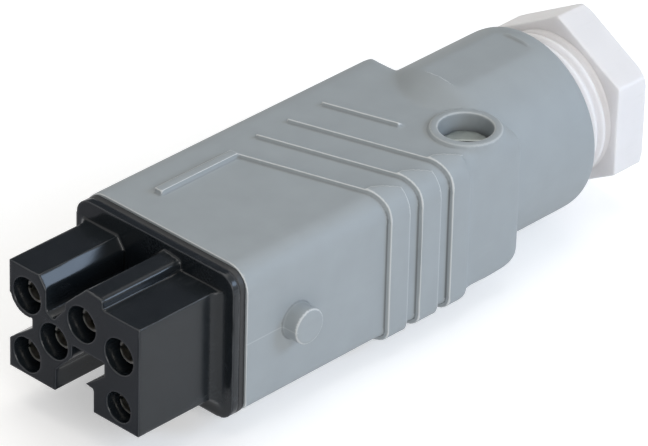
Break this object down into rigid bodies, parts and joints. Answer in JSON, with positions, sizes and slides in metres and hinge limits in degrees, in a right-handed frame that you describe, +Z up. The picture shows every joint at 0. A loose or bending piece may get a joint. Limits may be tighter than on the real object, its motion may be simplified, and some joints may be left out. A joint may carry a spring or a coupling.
{
  "type": "rectangular cable connector",
  "caption": "Rectangular female power cable connector: ribbed hood with side locking pegs, keyed block of recessed contact sockets, and a hexagon gland screw that grips the cable.",
  "frame": {"origin": "centre of the hood's front rim, at half the hood's width and height", "axes": "+Y along the connector to the cable, +X to the narrow side with the carrier's fixing screw, +Z up through the broad side with the raised frame"},
  "size_m": [0.0306, 0.0845, 0.0237],
  "materials": {
    "hood_grey": "fine matt moulded grey",
    "carrier_black": "glossy moulded black",
    "gasket_rubber": "satin black rubber",
    "screw_steel": "plain plated steel",
    "seal_rubber": "dull black rubber",
    "washer_plastic": "plain moulded white",
    "gland_white": "satin moulded white",
    "contact_metal": "silver-plated brass"
  },
  "bodies": {
    "housing": {"housing": "hood_grey", "contact_carrier": "carrier_black", "flange_gasket": "gasket_rubber", "terminal_screws": "screw_steel", "carrier_fixing_screw": "screw_steel", "cable_seal": "seal_rubber", "line_contact_1": "contact_metal", "line_contact_2": "contact_metal", "line_contact_3": "contact_metal", "line_contact_4": "contact_metal", "line_contact_5": "contact_metal", "earth_contact": "contact_metal"},
    "thrust_washer": {"thrust_washer": "washer_plastic"},
    "gland_screw": {"gland_screw": "gland_white"}
  },
  "joints": [
    {"name": "gland_travel", "type": "slide", "parent": "housing", "child": "thrust_washer", "axis": [0, -1, 0], "range_m": [-0.0026, 0.0034]},
    {"name": "gland_turn", "type": "hinge", "parent": "thrust_washer", "child": "gland_screw", "pos_m": [0, 0.0631, -0.00035], "axis": [0, -1, 0], "range_deg": [-638, 866]}
  ],
  "couplings": [
    {"joint": "gland_travel", "follows": "gland_turn", "m_per_rad": 0.00022457}
  ]
}
